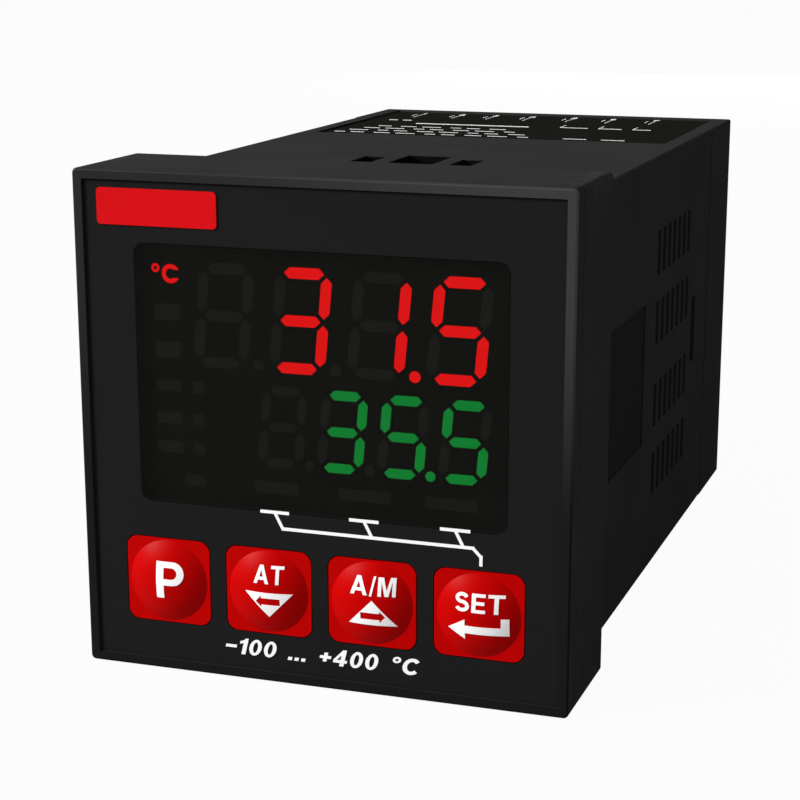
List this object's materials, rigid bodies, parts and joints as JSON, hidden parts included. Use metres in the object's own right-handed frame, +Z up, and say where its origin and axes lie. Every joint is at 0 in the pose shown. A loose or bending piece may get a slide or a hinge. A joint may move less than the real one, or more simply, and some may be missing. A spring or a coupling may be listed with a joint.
{
  "type": "pid temperature controller",
  "caption": "Square-fronted panel temperature controller with a two-line digital display, four domed keys, vented tube housing and screw terminals.",
  "frame": {"origin": "centre of the panel cut-out, in the plane where the rear of the flange bears on the panel", "axes": "+X to the right of somebody who reads the front, +Y into the panel and towards the terminals, +Z up"},
  "size_m": [0.048, 0.0841, 0.048],
  "materials": {
    "bezel_plastic": "dark grey moulded plastic, fine satin texture",
    "casing_plastic": "dark grey moulded plastic, fine spark-eroded texture",
    "base_plastic": "dark grey moulded plastic, fine texture",
    "seal_rubber": "black soft rubber",
    "overlay_film": "dark grey matt printed film",
    "white_print": "white screen print",
    "badge_red": "red satin foil, bare",
    "smoked_window": "smoked clear acrylic, satin",
    "key_red": "red satin moulded plastic",
    "plunger_plastic": "black plastic",
    "switch_plastic": "black plastic",
    "module_black": "black matt plastic",
    "light_red": "red light, lit",
    "light_green": "green light, lit",
    "light_off": "unlit light window, nearly as dark as its module",
    "board_laminate": "green glass-fibre laminate with solder resist",
    "chip_black": "black moulded package",
    "header_black": "black plastic",
    "terminal_metal": "nickel-plated strip",
    "screw_steel": "zinc-plated steel",
    "core_ferrite": "dark grey ferrite",
    "bobbin_plastic": "black plastic",
    "winding_copper": "enamelled copper wire",
    "relay_plastic": "black plastic cover",
    "can_sleeve": "aluminium can in a dark sleeve",
    "varistor_coat": "blue dipped coat",
    "label_film": "black printed label"
  },
  "bodies": {
    "chassis": {"alarm_relay": "relay_plastic", "badge_plate": "badge_red", "board_header_left": "header_black", "board_header_right": "header_black", "controller_chip": "chip_black", "converter_chip": "chip_black", "display_block": "module_black", "display_board": "board_laminate", "display_driver_chip": "chip_black", "display_window": "smoked_window", "front_bezel": "bezel_plastic", "front_overlay": "overlay_film", "front_seal": "seal_rubber", "housing": "casing_plastic", "input_capacitor": "can_sleeve", "lower_digits_lit": "light_green", "lower_digits_unlit": "light_off", "main_board": "board_laminate", "output_capacitor": "can_sleeve", "output_relay": "relay_plastic", "power_board": "board_laminate", "printed_lines": "white_print", "signs_unlit": "light_off", "switch_down": "switch_plastic", "switch_program": "switch_plastic", "switch_set": "switch_plastic", "switch_up": "switch_plastic", "terminal_base": "base_plastic", "terminal_plate_01": "terminal_metal", "terminal_plate_02": "terminal_metal", "terminal_plate_03": "terminal_metal", "terminal_plate_04": "terminal_metal", "terminal_plate_05": "terminal_metal", "terminal_plate_06": "terminal_metal", "terminal_plate_07": "terminal_metal", "terminal_plate_08": "terminal_metal", "terminal_plate_09": "terminal_metal", "terminal_plate_10": "terminal_metal", "terminal_plate_11": "terminal_metal", "terminal_plate_12": "terminal_metal", "terminal_screws": "screw_steel", "terminal_washers": "terminal_metal", "top_label": "label_film", "transformer_bobbin": "bobbin_plastic", "transformer_core": "core_ferrite", "transformer_winding": "winding_copper", "unit_sign_lit": "light_red", "upper_digits_lit": "light_red", "upper_digits_unlit": "light_off", "varistor": "varistor_coat"},
    "program_key": {"key_program": "key_red", "plunger_program": "plunger_plastic"},
    "down_key": {"key_down": "key_red", "plunger_down": "plunger_plastic"},
    "up_key": {"key_up": "key_red", "plunger_up": "plunger_plastic"},
    "set_key": {"key_set": "key_red", "plunger_set": "plunger_plastic"}
  },
  "joints": [
    {"name": "program_press", "type": "slide", "parent": "chassis", "child": "program_key", "axis": [0, 1, 0], "range_m": [0, 0.0005], "stiffness_N_per_m": 2500},
    {"name": "down_press", "type": "slide", "parent": "chassis", "child": "down_key", "axis": [0, 1, 0], "range_m": [0, 0.0005], "stiffness_N_per_m": 2500},
    {"name": "up_press", "type": "slide", "parent": "chassis", "child": "up_key", "axis": [0, 1, 0], "range_m": [0, 0.0005], "stiffness_N_per_m": 2500},
    {"name": "set_press", "type": "slide", "parent": "chassis", "child": "set_key", "axis": [0, 1, 0], "range_m": [0, 0.0005], "stiffness_N_per_m": 2500}
  ]
}
